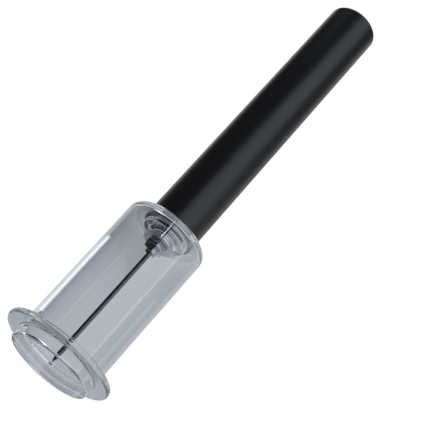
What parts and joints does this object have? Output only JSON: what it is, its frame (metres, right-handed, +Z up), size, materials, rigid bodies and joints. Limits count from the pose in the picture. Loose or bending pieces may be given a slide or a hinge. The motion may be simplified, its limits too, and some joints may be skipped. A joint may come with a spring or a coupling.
{
  "type": "air pump wine opener",
  "caption": "Wine opener that pumps air through a hollow needle under the cork, with a clear guide cup, a round finger flange and a long sliding black pump handle.",
  "frame": {"origin": "centre of the ring that the guide cup stands on, at the level of its rim", "axes": "+Z up along the object's axis, from the cup's mouth to the handle's top; +X towards the air port near the needle's point"},
  "size_m": [0.0486, 0.0486, 0.2143],
  "materials": {
    "clear_plastic": "smoky clear, moulded, polished",
    "black_plastic": "satin black, moulded",
    "grey_plastic": "plain moulded",
    "dark_chrome": "dark polished plating",
    "bright_steel": "ground and polished",
    "drawn_aluminium": "drawn tube, satin",
    "black_rubber": "moulded, dull"
  },
  "bodies": {
    "cup": {"guide_cup": "clear_plastic"},
    "pump_stem": {"pump_base": "dark_chrome", "spigot_o_ring": "black_rubber", "base_o_ring": "black_rubber", "hub_washer": "dark_chrome", "needle_hub": "dark_chrome", "needle": "bright_steel", "valve_seat": "black_rubber", "valve_spring": "bright_steel", "pump_cylinder": "drawn_aluminium", "cylinder_cap": "grey_plastic"},
    "check_valve": {"valve_ball": "bright_steel"},
    "handle": {"handle_tube": "black_plastic", "handle_end_cap": "black_plastic", "guide_bush": "grey_plastic", "piston_rod": "bright_steel", "rod_lock_nut": "bright_steel", "push_buffer": "black_rubber", "pull_buffer": "black_rubber", "piston_head": "grey_plastic", "piston_seal": "black_rubber", "seal_washer": "bright_steel", "piston_screw": "bright_steel"}
  },
  "joints": [
    {"name": "cup_release", "type": "slide", "parent": "cup", "child": "pump_stem", "axis": [0, 0, 1], "range_m": [0, 0.0678]},
    {"name": "pump_stroke", "type": "slide", "parent": "pump_stem", "child": "handle", "axis": [0, 0, 1], "range_m": [0, 0.0907]},
    {"name": "valve_lift", "type": "slide", "parent": "pump_stem", "child": "check_valve", "axis": [0, 0, -1], "range_m": [0, 0.0008], "stiffness_N_per_m": 60, "springref_m": -0.002, "deforming": ["valve_spring"]}
  ]
}
